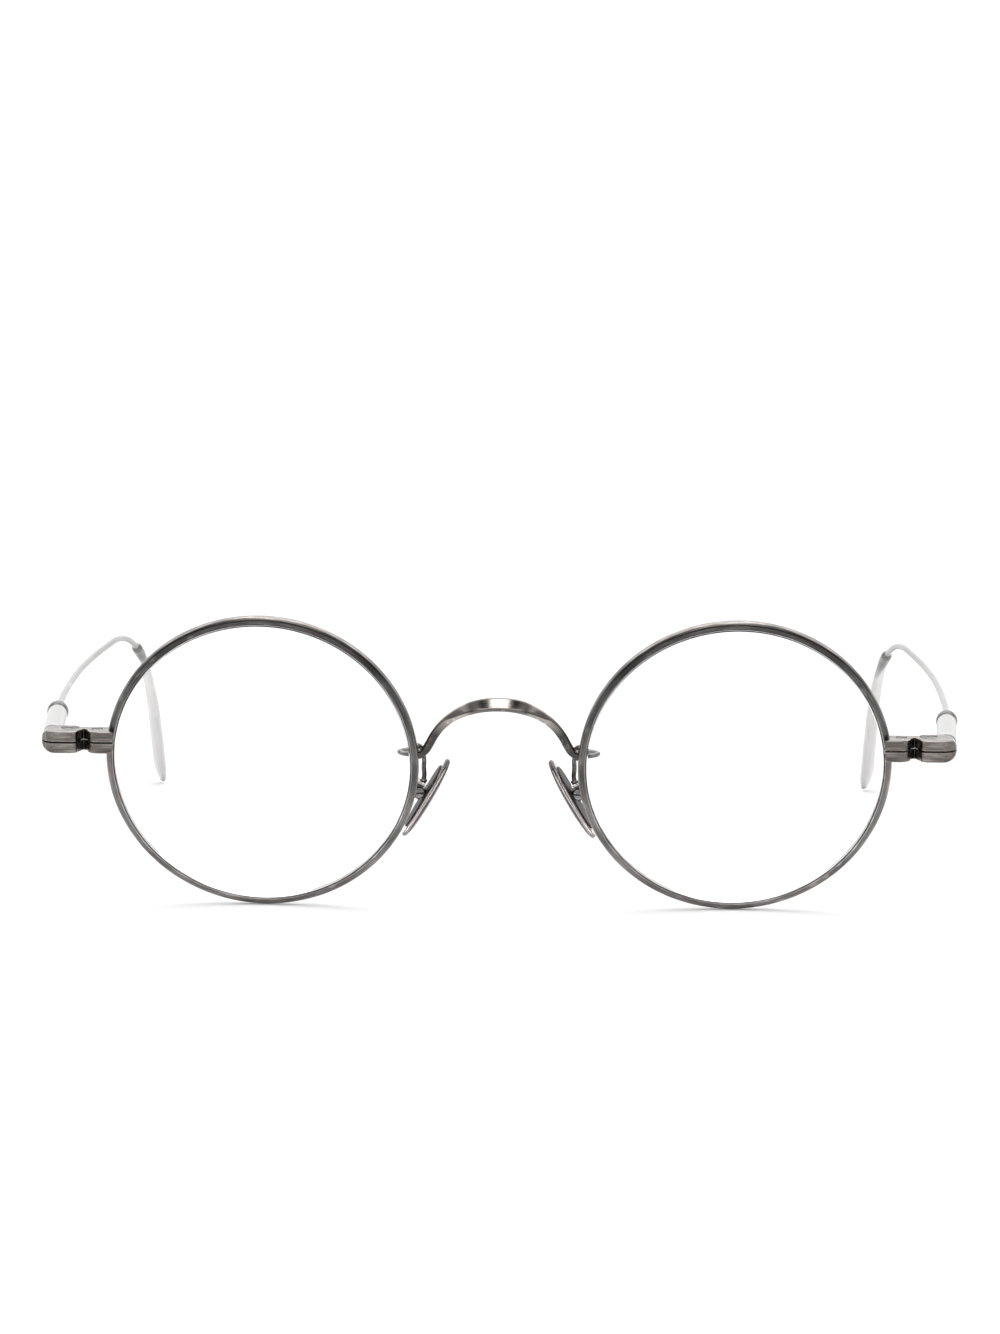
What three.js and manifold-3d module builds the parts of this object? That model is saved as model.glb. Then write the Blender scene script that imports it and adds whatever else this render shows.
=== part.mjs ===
// Round wire eyeglasses: two grooved rims, a saddle bridge, two-plate end pieces that close the
// rims and carry the temple hinges, tube-and-bead wire temples, and rocking nose pads.
// Millimetres. +X is the wearer's left, +Y runs back along the temples, +Z is up.
// Each piece is drawn for the +X side in the wearing frame, whose origin lies midway between the
// lens centres and whose Y axis is the wearer's line of sight. The last lines mirror it, tilt the
// glasses until rims and temple tips stand on one surface, and put the origin under the middle.

import * as THREE from 'three';
import { mergeVertices } from 'three/addons/utils/BufferGeometryUtils.js';
import Module from 'manifold-3d';

const wasm = await Module();
wasm.setup();

const rad = THREE.MathUtils.degToRad;
const vec = (x, y, z) => new THREE.Vector3(x, y, z);

// ---- driving dimensions ----
const LENS_SPACING = 67;          // between lens centres: 43 mm lens and 24 mm bridge
const APERTURE_R = 21.05;         // inside the rim's lips
const RIM_R = 22.26;              // outside of the rim
const RIM_HALF = 0.8;             // half the rim's depth, front to back
const GROOVE_R = 21.5;            // floor of the lens groove
const GAP = 0.07;                 // clearance between soldered or seated neighbours
const LENS_THICK = 1.8;
const LENS_CURVE_R = 132;         // base curve of the lens
const ROUND = 56;                 // facets round a rim or lens

const PANTOSCOPIC = rad(10.6);    // the rims' top leans forward of the temples' square
const WRAP = rad(1.65);           // each rim turns out to its own side
const STANDING_TILT = rad(5.5);   // temples rise to the back when the glasses stand

const PLANE_Z = 2.87;             // height of the rim split above the lens centres
const LUG_HEIGHT = 3.1;           // both plates and the split between them
const SPLIT = 0.18;               // saw cut that opens the rim
const LUG_FRONT = -2.15;
const LUG_INNER = 54.55;
const LUG_OUTER = 64.85;
const LUG_WAIST_BACK = 1.45;
const LOBE_R = 2.225;             // round outer end of the plates

const HINGE = { x: 60.9, y: 0.75 };       // temple hinge screw
const CLOSER = { x: 57.0, y: 0.25 };      // rim closing screw
const EYE_R = 1.55;                       // round end of the hinge leaf
const LEAF_HALF = 0.5;                    // half the leaf's thickness

const TUBE_START = vec(63.6, 3.4, PLANE_Z);
const TUBE_SPLAY = rad(4.55);     // each temple starts outwards
const TEMPLE_DIP = rad(2);        // and a little down
const TUBE_LENGTH = 15.4;
const TUBE_R = 1.42;
const TUBE_BORE = 0.95;
const BEAD_R = 1.6;
const BEAD_LENGTH = 3.9;
const WIRE_R = 0.475;

const BEND_START = 81;            // where the ear bend leaves the straight
const BEND_R = 48;
const BEND_ANGLE = rad(58);
const TIP_START = 100;
const TIP_END = 127.69;
const TIP_TWIST = rad(33);        // the paddle's upper edge leans towards the head

const PAD = { x: 10.6, y: 6.8, z: -6.6, length: 13, width: 7.4 };
const PAD_FACE = 1;               // nose side of the pad, from the pad frame's origin
const PAD_BACK = -0.12;           // back of the resin
const CORE_BACK = -0.46;          // back of its metal plate
const PAD_SLANT = rad(30);
const BOX_SLANT = rad(25);
const PAD_PIVOT_UP = 0.6;         // pad screw above the pad's middle, along the pad
const PAD_PIVOT_FRONT = 1.0;      // and forward of it
const PAD_PIVOT_BACK = 1.2;       // and behind the pad frame's origin
const ARM_R = 0.34;

// ---- solids ----
function closedMesh(source) {
  const bare = source.index ? source.clone() : source;
  bare.deleteAttribute('normal');
  bare.deleteAttribute('uv');
  const merged = mergeVertices(bare, 1e-4);
  return signedVolume(merged) < 0 ? turnedOver(merged) : merged;
}

function signedVolume(geometry) {
  const points = geometry.attributes.position;
  const [a, b, c] = [vec(0, 0, 0), vec(0, 0, 0), vec(0, 0, 0)];
  let sum = 0;
  for (let i = 0; i < geometry.index.count; i += 3) {
    a.fromBufferAttribute(points, geometry.index.getX(i));
    b.fromBufferAttribute(points, geometry.index.getX(i + 1));
    c.fromBufferAttribute(points, geometry.index.getX(i + 2));
    sum += a.dot(b.cross(c)) / 6;
  }
  return sum;
}

function turnedOver(geometry) {
  const order = Array.from(geometry.index.array);
  for (let i = 0; i < order.length; i += 3) {
    [order[i + 1], order[i + 2]] = [order[i + 2], order[i + 1]];
  }
  geometry.setIndex(order);
  return geometry;
}

function toSolid(geometry) {
  const mesh = closedMesh(geometry);
  const vertProperties = new Float32Array(mesh.attributes.position.array);
  const triVerts = new Uint32Array(mesh.index.array);
  return new wasm.Manifold(new wasm.Mesh({ numProp: 3, vertProperties, triVerts }));
}

function fromSolid(solid) {
  const mesh = solid.getMesh();
  const geometry = new THREE.BufferGeometry();
  geometry.setAttribute('position', new THREE.BufferAttribute(new Float32Array(mesh.vertProperties), 3));
  geometry.setIndex(Array.from(mesh.triVerts));
  return geometry;
}

function cut(body, ...tools) {
  return fromSolid(tools.reduce((solid, tool) => solid.subtract(toSolid(tool)), toSolid(body)));
}

function join(...bodies) {
  return fromSolid(bodies.map(toSolid).reduce((whole, part) => whole.add(part)));
}

function common(a, b) {
  return fromSolid(toSolid(a).intersect(toSolid(b)));
}

// ---- basic shapes ----
function polygon(points) {
  return new THREE.Shape(points.map(([x, y]) => new THREE.Vector2(x, y)));
}

function circle(radius, sides, x = 0, y = 0) {
  const corner = (i) => (2 * Math.PI * i) / sides;
  const at = (i) => [x + radius * Math.cos(corner(i)), y + radius * Math.sin(corner(i))];
  return polygon(Array.from({ length: sides }, (_, i) => at(i)));
}

// A flat shape in XY raised from z = low to z = high.
function raised(shape, low, high) {
  const depth = high - low;
  const geometry = new THREE.ExtrudeGeometry(shape, { depth, bevelEnabled: false, curveSegments: 5 });
  return geometry.translate(0, 0, low);
}

function block(x0, x1, y0, y1, z0, z1) {
  const geometry = new THREE.BoxGeometry(x1 - x0, y1 - y0, z1 - z0);
  return geometry.translate((x0 + x1) / 2, (y0 + y1) / 2, (z0 + z1) / 2);
}

// A turned solid about the Y axis from (radius, y) pairs.
function turned(profile, sides, closed = false) {
  const points = profile.map(([r, y]) => new THREE.Vector2(r, y));
  if (closed) points.push(points[0].clone());
  return new THREE.LatheGeometry(points, sides);
}

function alongPath(curve, radius, steps, sides = 8) {
  return new THREE.ExtrudeGeometry(circle(radius, sides), { extrudePath: curve, steps, bevelEnabled: false });
}

// Skins a row of equal closed rings and caps both ends.
function loft(rings) {
  const count = rings[0].length;
  const points = rings.flat();
  const index = [];
  for (let ring = 0; ring + 1 < rings.length; ring += 1) {
    for (let i = 0; i < count; i += 1) {
      const a = ring * count + i;
      const b = ring * count + ((i + 1) % count);
      index.push(a, b, b + count, a, b + count, a + count);
    }
  }
  const last = (rings.length - 1) * count;
  for (let i = 1; i + 1 < count; i += 1) {
    index.push(0, i + 1, i, last, last + i, last + i + 1);
  }
  const geometry = new THREE.BufferGeometry().setFromPoints(points);
  geometry.setIndex(index);
  return geometry;
}

// An oval ring of points round a centre, with half sizes along two directions.
function ovalRing(centre, along, half, across, thick, sides, power = 2) {
  return Array.from({ length: sides }, (_, i) => {
    const angle = (2 * Math.PI * i) / sides;
    const u = Math.sign(Math.cos(angle)) * Math.abs(Math.cos(angle)) ** (2 / power);
    const v = Math.sign(Math.sin(angle)) * Math.abs(Math.sin(angle)) ** (2 / power);
    return centre.clone().addScaledVector(along, u * half).addScaledVector(across, v * thick);
  });
}

// ---- rims and lenses ----
const rimPlace = new THREE.Matrix4()
  .makeTranslation(LENS_SPACING / 2, 0, 0)
  .multiply(new THREE.Matrix4().makeRotationX(PANTOSCOPIC))
  .multiply(new THREE.Matrix4().makeRotationZ(WRAP));

function rimRing() {
  const lip = RIM_HALF - 0.2;
  const profile = [
    [APERTURE_R, -lip], [APERTURE_R + 0.2, -RIM_HALF], [RIM_R - 0.45, -RIM_HALF], [RIM_R, -0.35],
    [RIM_R, 0.35], [RIM_R - 0.45, RIM_HALF], [APERTURE_R + 0.2, RIM_HALF], [APERTURE_R, lip],
    [APERTURE_R, 0.48], [GROOVE_R, 0], [APERTURE_R, -0.48],
  ];
  return turned(profile, ROUND, true).applyMatrix4(rimPlace);
}

// The rim's space with a clearance all round, for cutting what is soldered against it.
function rimSpace() {
  const half = RIM_HALF + GAP;
  const profile = [
    [APERTURE_R - 0.6, -half], [RIM_R - 0.42, -half], [RIM_R + GAP, -0.38],
    [RIM_R + GAP, 0.38], [RIM_R - 0.42, half], [APERTURE_R - 0.6, half],
  ];
  return turned(profile, ROUND, true).applyMatrix4(rimPlace);
}

function rim() {
  const saw = block(LUG_INNER - 2, LUG_OUTER, -4, 4, PLANE_Z - SPLIT / 2, PLANE_Z + SPLIT / 2);
  return cut(rimRing(), saw);
}

function lens() {
  const edge = APERTURE_R - 0.1;
  const bow = (r) => (r * r - edge * edge) / (2 * LENS_CURVE_R);
  const middle = 0.55 * edge;
  const half = LENS_THICK / 2;
  const front = [0, middle, edge].map((r) => [r, bow(r) - half]);
  const bevel = [[edge, -0.4], [GROOVE_R - 0.14, 0], [edge, 0.4]];
  const back = [edge, middle, 0].map((r) => [r, bow(r) + half]);
  return turned([...front, ...bevel, ...back], ROUND).applyMatrix4(rimPlace);
}

// ---- bridge ----
function bridge() {
  const half = [
    [12.2, -0.3, 1.6], [11.2, -0.45, 1.6], [10.4, -0.62, 2.0], [9.8, -0.9, 2.95], [9.08, -1.4, 4.35],
    [7.8, -2.0, 6.1], [5.67, -2.5, 7.8], [2.84, -2.75, 8.9],
  ];
  const left = half.map(([x, y, z]) => vec(-x, y, z));
  const right = half.map(([x, y, z]) => vec(x, y, z)).toReversed();
  const curve = new THREE.CatmullRomCurve3([...left, vec(0, -2.8, 9.18), ...right], false, 'centripetal');
  const steps = 30;
  const rings = Array.from({ length: steps + 1 }, (_, i) => bridgeRing(curve, i / steps));
  const mirrorSpace = rimSpace().applyMatrix4(new THREE.Matrix4().makeScale(-1, 1, 1));
  return cut(loft(rings), rimSpace(), mirrorSpace);
}

// The bridge is wire at its ends and a flattened saddle strip, turned to face up, at its middle.
function bridgeRing(curve, part) {
  const centre = curve.getPointAt(part);
  const along = curve.getTangentAt(part);
  const flat = 1 - THREE.MathUtils.smoothstep(Math.abs(centre.x), 1.5, 9);
  const turn = rad(40) * flat;
  const face = vec(0, -Math.cos(turn), Math.sin(turn));
  const width = along.clone().cross(face).normalize();
  const out = width.clone().cross(along).normalize();
  return ovalRing(centre, width, 0.64 + 0.34 * flat, out, 0.58 - 0.18 * flat, 12, 2 + 3 * flat);
}

// ---- end pieces: two plates that close the rim and hold the hinge leaf between them ----
function lugPlan() {
  const shape = new THREE.Shape();
  shape.moveTo(LUG_INNER, LUG_FRONT + 0.15);
  shape.lineTo(LUG_INNER + 0.25, LUG_FRONT);
  shape.lineTo(56.75, LUG_FRONT);
  shape.absarc(56.75, LUG_FRONT + 1.5, 1.5, -Math.PI / 2, rad(8), false);
  shape.lineTo(58.9, 0.2);
  shape.absarc(61.4, LUG_FRONT + 1.8, 1.8, Math.PI, 1.5 * Math.PI, false);
  shape.absarc(LUG_OUTER - LOBE_R, LUG_FRONT + LOBE_R, LOBE_R, -Math.PI / 2, Math.PI / 2, false);
  shape.absarc(HINGE.x, HINGE.y, EYE_R, Math.PI / 2, rad(152), false);
  shape.lineTo(58.6, LUG_WAIST_BACK);
  shape.lineTo(LUG_INNER + 0.4, LUG_WAIST_BACK);
  shape.lineTo(LUG_INNER + 0.2, LUG_WAIST_BACK - 0.2);
  return shape;
}

// Seen from the front the plates' outer end is rounded, more below than above.
function lugElevation() {
  const top = PLANE_Z + LUG_HEIGHT / 2;
  const foot = PLANE_Z - LUG_HEIGHT / 2;
  const shape = new THREE.Shape();
  shape.moveTo(LUG_INNER - 0.01, top);
  shape.lineTo(LUG_INNER - 0.01, foot + 0.6);
  shape.absarc(LUG_INNER + 0.59, foot + 0.6, 0.6, Math.PI, 1.5 * Math.PI, false);
  shape.absellipse(LUG_OUTER - 2.05, PLANE_Z, 2.06, LUG_HEIGHT / 2, -Math.PI / 2, 0, false);
  shape.absellipse(LUG_OUTER - 1.0, PLANE_Z, 1.01, LUG_HEIGHT / 2, 0, Math.PI / 2, false);
  const solid = raised(shape, -3, 3);
  return solid.rotateX(Math.PI / 2);
}

// Room for the leaf: a round seat, open to the back and to the side it folds to.
function leafSpace() {
  const high = LEAF_HALF + 0.08;
  const seat = raised(circle(EYE_R + 0.1, 16, HINGE.x, HINGE.y), PLANE_Z - high, PLANE_Z + high);
  const mouth = block(58.45, 64.3, HINGE.y, 3, PLANE_Z - high, PLANE_Z + high);
  return join(seat, mouth);
}

function lugPlate(low, high, ...tools) {
  const plate = common(raised(lugPlan(), low, high), lugElevation());
  return cut(plate, rimSpace(), leafSpace(), ...tools);
}

function upperLug() {
  const top = PLANE_Z + LUG_HEIGHT / 2;
  return lugPlate(
    PLANE_Z + SPLIT / 2,
    top,
    raised(circle(0.66, 12, HINGE.x, HINGE.y), 0, 6),
    raised(circle(1.24, 16, HINGE.x, HINGE.y), top - 0.6, 6),
    raised(circle(0.5, 12, CLOSER.x, CLOSER.y), 0, 6),
    raised(circle(0.8, 16, CLOSER.x, CLOSER.y), top - 0.55, 6),
  );
}

function lowerLug() {
  return lugPlate(
    PLANE_Z - LUG_HEIGHT / 2,
    PLANE_Z - SPLIT / 2,
    raised(circle(0.66, 12, HINGE.x, HINGE.y), 0, 6),
    raised(circle(0.5, 12, CLOSER.x, CLOSER.y), 0, 6),
  );
}

// A slotted cheese-head screw whose head top is at z = top.
function screw(headR, headDepth, shankR, length, slot, slotTurn) {
  const head = raised(circle(headR, 16), -headDepth, 0);
  const shank = raised(circle(shankR, 12), -length, -headDepth + 0.05);
  const groove = block(-headR * 2, headR * 2, -slot / 2, slot / 2, -0.25, 1).rotateZ(slotTurn);
  return cut(join(head, shank), groove);
}

function hingeScrew() {
  const top = PLANE_Z + LUG_HEIGHT / 2;
  return screw(1.17, 0.54, 0.58, LUG_HEIGHT - 0.1, 0.32, rad(8)).translate(HINGE.x, HINGE.y, top);
}

function closingScrew() {
  const top = PLANE_Z + LUG_HEIGHT / 2;
  return screw(0.73, 0.49, 0.43, LUG_HEIGHT - 0.1, 0.26, rad(-20)).translate(CLOSER.x, CLOSER.y, top);
}

// ---- temples ----
function templeLeaf() {
  const low = PLANE_Z - LEAF_HALF;
  const high = PLANE_Z + LEAF_HALF;
  const eye = raised(circle(EYE_R, 16, HINGE.x, HINGE.y), low, high);
  const neck = polygon([[60.9, 0.75], [62.4, 0.6], [63.95, 2.2], [64.1, 3.1], [62.2, 3.1]]);
  const core = TUBE_BORE - GAP;
  const outline = [[0, -0.45], [1.32, -0.45], [1.32, -0.06], [core, -0.06], [core, 3.4], [0, 3.4]];
  const plug = turned(outline, 16);
  const hole = raised(circle(0.66, 12, HINGE.x, HINGE.y), 0, 6);
  return cut(join(eye, raised(neck, low, high), onTube(plug, 0)), hole);
}

function tubeAxis() {
  const level = vec(0, 1, 0).applyAxisAngle(vec(1, 0, 0), -TEMPLE_DIP);
  return level.applyAxisAngle(vec(0, 0, 1), -TUBE_SPLAY);
}

// Places a turned piece on the temple tube's axis.
function onTube(geometry, distance) {
  const place = TUBE_START.clone().addScaledVector(tubeAxis(), distance);
  return geometry.rotateX(-TEMPLE_DIP).rotateZ(-TUBE_SPLAY).translate(place.x, place.y, place.z);
}

function templeTube() {
  const r = TUBE_R;
  const end = TUBE_LENGTH;
  const wall = [[r - 0.15, 0], [r, 0.15], [r, end - 0.1], [r - 0.1, end]];
  const profile = [[TUBE_BORE, 0], ...wall, [TUBE_BORE, end]];
  return onTube(turned(profile, 16, true), 0);
}

// An olive bead with a spigot in the tube's mouth, bored for the wire.
function templeBead() {
  const bore = WIRE_R + GAP;
  const bulge = [10, 40, 70, 90, 110, 140, 170].map((degrees) => {
    const angle = rad(degrees);
    return [0.75 + (BEAD_R - 0.75) * Math.sin(angle), (BEAD_LENGTH / 2) * (1 - Math.cos(angle))];
  });
  const core = TUBE_BORE - GAP;
  const spigot = [[bore, -1.6], [core, -1.6], [core, 0]];
  const profile = [...spigot, ...bulge, [bore, BEAD_LENGTH - 0.05]];
  return onTube(turned(profile, 16, true), TUBE_LENGTH + GAP);
}

// The wire's centre at a distance y behind the lens centres.
const BOW = [
  [10, 64.13], [17, 64.68], [24, 65.24], [34, 65.68], [46, 65.82], [58, 65.55], [70, 64.65], [82, 63.3],
  [94, 62.05], [106, 61.0], [118, 60.4], [136, 59.8],
];
const bowCurve = new THREE.SplineCurve(BOW.map(([y, x]) => new THREE.Vector2(y, x)));

function bowAt(y) {
  let [low, high] = [0, 1];
  for (let i = 0; i < 30; i += 1) {
    const middle = (low + high) / 2;
    if (bowCurve.getPoint(middle).x < y) low = middle;
    else high = middle;
  }
  return bowCurve.getPoint(low).y;
}

function dropAt(y) {
  const run = Math.max(0, y - BEND_START);
  const dip = (y - TUBE_START.y) * Math.tan(TEMPLE_DIP) / Math.cos(TUBE_SPLAY);
  const bendRun = BEND_R * Math.sin(BEND_ANGLE);
  if (run <= bendRun) return dip + BEND_R - Math.sqrt(BEND_R * BEND_R - run * run);
  return dip + BEND_R * (1 - Math.cos(BEND_ANGLE)) + (run - bendRun) * Math.tan(BEND_ANGLE);
}

function templeCurve(from, to, spacing) {
  const count = Math.ceil((to - from) / spacing);
  const points = Array.from({ length: count + 1 }, (_, i) => {
    const y = from + ((to - from) * i) / count;
    return vec(bowAt(y), y, PLANE_Z - dropAt(y));
  });
  return new THREE.CatmullRomCurve3(points, false, 'centripetal');
}

function templeWire() {
  return alongPath(templeCurve(14, TIP_START + 3.5, 5), WIRE_R, 32);
}

// A sleeve that swallows the wire's end and flattens to a paddle, twisted to lie on the head.
function templeTip() {
  const curve = templeCurve(TIP_START, TIP_END, 4);
  const steps = 20;
  const rings = Array.from({ length: steps + 1 }, (_, i) => tipRing(curve, i / steps));
  const socket = alongPath(templeCurve(TIP_START - 3, TIP_START + 4, 3), WIRE_R + GAP, 5);
  return cut(loft(rings), socket);
}

function tipRing(curve, part) {
  const centre = curve.getPointAt(part);
  const along = curve.getTangentAt(part);
  const side = vec(1, 0, 0).applyAxisAngle(along, TIP_TWIST);
  const across = side.sub(along.clone().multiplyScalar(side.dot(along))).normalize();
  const width = along.clone().cross(across).normalize();
  const open = THREE.MathUtils.smoothstep(part, 0.08, 0.22);
  const close = Math.sqrt(Math.max(0.04, 1 - Math.max(0, (part - 0.9) / 0.1) ** 2));
  const half = (0.85 + (1.0 + 0.3 * part) * open) * close;
  const thick = (0.85 - 0.3 * open) * Math.max(0.6, close);
  return ovalRing(centre, width, half, across, thick, 10, 2.2);
}

// ---- nose pads ----
// Pad frame: x runs back along the pad's width, y up along its length, z towards the nose.
function padFrame(slant, origin) {
  const back = vec(0, 1, 0);
  const up = vec(-Math.sin(slant), 0, Math.cos(slant));
  const nose = vec(-Math.cos(slant), 0, -Math.sin(slant));
  return new THREE.Matrix4().makeBasis(back, up, nose).setPosition(origin);
}

const padPlace = padFrame(PAD_SLANT, vec(PAD.x, PAD.y, PAD.z));
const pivot = vec(-PAD_PIVOT_FRONT, PAD_PIVOT_UP, -PAD_PIVOT_BACK).applyMatrix4(padPlace);
const boxPlace = padFrame(BOX_SLANT, pivot);

function oval(width, length, sides) {
  const corner = (i) => (2 * Math.PI * i) / sides;
  return polygon(Array.from({ length: sides }, (_, i) => {
    const egg = 1 - 0.1 * Math.sin(corner(i));
    return [(width / 2) * egg * Math.cos(corner(i)), (length / 2) * Math.sin(corner(i))];
  }));
}

function stadium(width, length, sides = 4) {
  const r = width / 2;
  const shape = new THREE.Shape();
  shape.absarc(0, length / 2 - r, r, 0, Math.PI, false);
  shape.absarc(0, r - length / 2, r, Math.PI, 2 * Math.PI, false);
  return new THREE.Shape(shape.getPoints(sides).slice(0, -1));
}

function nosePad() {
  const edge = 0.4;
  const outline = oval(PAD.width - 2 * edge, PAD.length - 2 * edge, 22);
  const body = new THREE.ExtrudeGeometry(outline, {
    depth: PAD_FACE - PAD_BACK - 2 * edge, bevelThickness: edge, bevelSize: edge, bevelSegments: 2,
  });
  return body.translate(0, 0, PAD_BACK + edge).applyMatrix4(padPlace);
}

// The metal plate on the pad's back, with the eye that goes into the box.
function padCore() {
  const plate = raised(stadium(4.6, 9.4), CORE_BACK, PAD_BACK - 0.05);
  const stalk = block(-0.42, 0.42, -0.62, 0.62, -PAD_PIVOT_BACK, CORE_BACK + 0.1);
  const eye = raised(circle(0.72, 12), -0.42, 0.42).rotateY(Math.PI / 2);
  eye.translate(0, 0, -PAD_PIVOT_BACK);
  const hole = raised(circle(0.44, 10), -2, 2).rotateY(Math.PI / 2);
  hole.translate(0, 0, -PAD_PIVOT_BACK);
  const tab = cut(join(stalk, eye), hole).translate(-PAD_PIVOT_FRONT, PAD_PIVOT_UP, 0);
  return join(plate, tab).applyMatrix4(padPlace);
}

// A U-shaped box, open towards the pad, drilled across for the pad screw.
function padBox() {
  const body = block(-1.05, 1.05, -1.05, 1.5, -1.3, 0.42);
  const slot = block(-0.54, 0.54, -2, 0.98, -0.86, 1);
  const hole = raised(circle(0.44, 10), -2, 2).rotateY(Math.PI / 2);
  return cut(body, slot, hole).applyMatrix4(boxPlace);
}

function padScrew() {
  const body = screw(0.75, 0.42, 0.38, 2.7, 0.22, rad(30));
  return body.rotateY(-Math.PI / 2).translate(-1.54, 0, 0).applyMatrix4(boxPlace);
}

// The wire loops behind the lens edge from its solder joint and comes down to the box.
function padArm() {
  const foot = vec(0, 1.5 + GAP, -0.15).applyMatrix4(boxPlace);
  const points = [
    vec(11.85, 1.25, 1.0), vec(12.7, 1.6, 1.1), vec(13.7, 2.2, 1.12), vec(14.2, 3.2, 1.1),
    vec(13.8, 4.2, 1.05), vec(12.8, 4.9, 1.05), vec(11.7, 5.35, 0.9), vec(11.0, 5.6, 0.3),
    vec(10.75, 5.7, -0.7), vec(10.78, 5.75, -1.9), foot.clone().add(vec(-0.1, 0, 0.9)), foot,
  ];
  return alongPath(new THREE.CatmullRomCurve3(points, false, 'centripetal'), ARM_R, 34);
}

// ---- assembly ----
function metal(color, roughness) {
  return new THREE.MeshStandardMaterial({ color, roughness, metalness: 1 });
}

function seeThrough(color, roughness, opacity) {
  return new THREE.MeshStandardMaterial({ color, roughness, metalness: 0, transparent: true, opacity });
}

const antique = metal('#7d7873', 0.42);
const bright = metal('#dcdcda', 0.25);
const dark = metal('#55514e', 0.5);
const clear = seeThrough('#f4f6f6', 0.05, 0.3);
const soft = seeThrough('#c7b4ae', 0.3, 0.75);

const wearing = new THREE.Group();

function add(name, geometry, material) {
  const mesh = new THREE.Mesh(geometry, material);
  mesh.name = name;
  wearing.add(mesh);
}

function addPair(name, geometry, material) {
  const right = closedMesh(geometry);
  const mirrored = closedMesh(right.clone().applyMatrix4(new THREE.Matrix4().makeScale(-1, 1, 1)));
  right.computeVertexNormals();
  mirrored.computeVertexNormals();
  add(`${name}_left`, right, material);
  add(`${name}_right`, mirrored, material);
}

addPair('rim', rim(), antique);
addPair('lens', lens(), clear);
add('bridge', closedMesh(bridge()), antique);
addPair('lug_upper', upperLug(), antique);
addPair('lug_lower', lowerLug(), antique);
addPair('hinge_screw', hingeScrew(), dark);
addPair('rim_screw', closingScrew(), dark);
addPair('temple_leaf', templeLeaf(), antique);
addPair('temple_tube', templeTube(), bright);
addPair('temple_bead', templeBead(), dark);
addPair('temple_wire', templeWire(), bright);
addPair('temple_tip', templeTip(), antique);
addPair('pad_arm', padArm(), dark);
addPair('pad_box', padBox(), dark);
addPair('pad_screw', padScrew(), dark);
addPair('pad_core', padCore(), dark);
addPair('nose_pad', nosePad(), soft);

wearing.rotation.x = STANDING_TILT;
const glasses = new THREE.Group();
glasses.add(wearing);
glasses.updateMatrixWorld(true);
const extent = new THREE.Box3().setFromObject(glasses, true);
wearing.position.set(0, -(extent.min.y + extent.max.y) / 2, -extent.min.z);

export default glasses;
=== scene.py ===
"""Round wire eyeglasses: smooth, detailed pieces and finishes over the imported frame.

Pieces are drawn in millimetres for the wearer's left (+X) side in the wearing frame of the CAD
source, whose origin lies between the lens centres, and are then tilted onto the surface and
mirrored. Each mesh carries a "grain" vector for its brush marks, in millimetres: along a bent piece
and then across it, or a carved piece's own coordinates.
"""
import math

import bmesh
import bpy
import numpy as np
from mathutils import Matrix, Vector


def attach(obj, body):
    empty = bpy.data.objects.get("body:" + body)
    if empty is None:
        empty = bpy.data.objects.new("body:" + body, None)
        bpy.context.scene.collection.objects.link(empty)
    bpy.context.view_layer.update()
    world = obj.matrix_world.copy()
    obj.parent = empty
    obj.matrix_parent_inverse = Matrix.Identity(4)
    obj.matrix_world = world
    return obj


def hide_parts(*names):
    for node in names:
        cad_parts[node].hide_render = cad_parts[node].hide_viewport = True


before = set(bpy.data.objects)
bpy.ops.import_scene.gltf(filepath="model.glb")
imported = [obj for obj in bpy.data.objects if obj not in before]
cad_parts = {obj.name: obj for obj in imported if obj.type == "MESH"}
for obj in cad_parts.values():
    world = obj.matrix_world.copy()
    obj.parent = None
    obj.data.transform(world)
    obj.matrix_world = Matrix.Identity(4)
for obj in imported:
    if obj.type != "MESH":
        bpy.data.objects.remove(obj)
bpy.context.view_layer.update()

# ---- driving dimensions in millimetres and degrees ----
# They are the CAD source's, but the bead and the tip are a hair smaller: smooth ones reach further
# than faceted ones.
LENS_X = 33.5
APERTURE_R, RIM_R, RIM_HALF, GROOVE_R = 21.05, 22.26, 0.8, 21.5
LENS_THICK, LENS_CURVE_R = 1.8, 132
PANTOSCOPIC, WRAP, STANDING_TILT = 10.6, 1.65, 5.5
PLANE_Z, LUG_HEIGHT, SPLIT = 2.87, 3.1, 0.18
LUG_FRONT, LUG_INNER, LUG_OUTER, LUG_BACK, LOBE_R = -2.15, 54.55, 64.85, 1.45, 2.225
SEAM, CLEAR_ABOVE = 0.055, 6
HINGE, CLOSER, EYE_R, LEAF_HALF = (60.9, 0.75), (57.0, 0.25), 1.55, 0.5
HINGE_HOLE_R, CLOSER_HOLE_R, PAD_HOLE_R = 0.66, 0.5, 0.44
TOP, FOOT = PLANE_Z + LUG_HEIGHT / 2, PLANE_Z - LUG_HEIGHT / 2
TUBE_START, TUBE_SPLAY, TEMPLE_DIP = (63.6, 3.4, PLANE_Z), 4.55, 2.0
TUBE_LENGTH, TUBE_R, TUBE_BORE, BEAD_R, BEAD_LENGTH, WIRE_R = 15.4, 1.42, 0.95, 1.58, 3.9, 0.475
BEND_START, BEND_R, BEND_ANGLE, TIP_START, TIP_END, TIP_TWIST = 81, 48, 58, 100, 127.6, 33
PAD_LENGTH, PAD_WIDTH, PAD_FACE, PAD_BACK, CORE_BACK = 13, 7.4, 1.0, -0.12, -0.46
PAD_SLANT, BOX_SLANT, PAD_ORIGIN = 30, 25, (10.6, 6.8, -6.6)
PIVOT_UP, PIVOT_FRONT, PIVOT_BACK, ARM_R = 0.6, 1.0, 1.2, 0.34
STANDING_Y, STANDING_Z = -61.90267, 21.48396


# ---- placing ----
def shift(x, y, z):
    return np.array(Matrix.Translation((x, y, z)))


def turn(axis, degrees):
    return np.array(Matrix.Rotation(math.radians(degrees), 4, axis))


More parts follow.
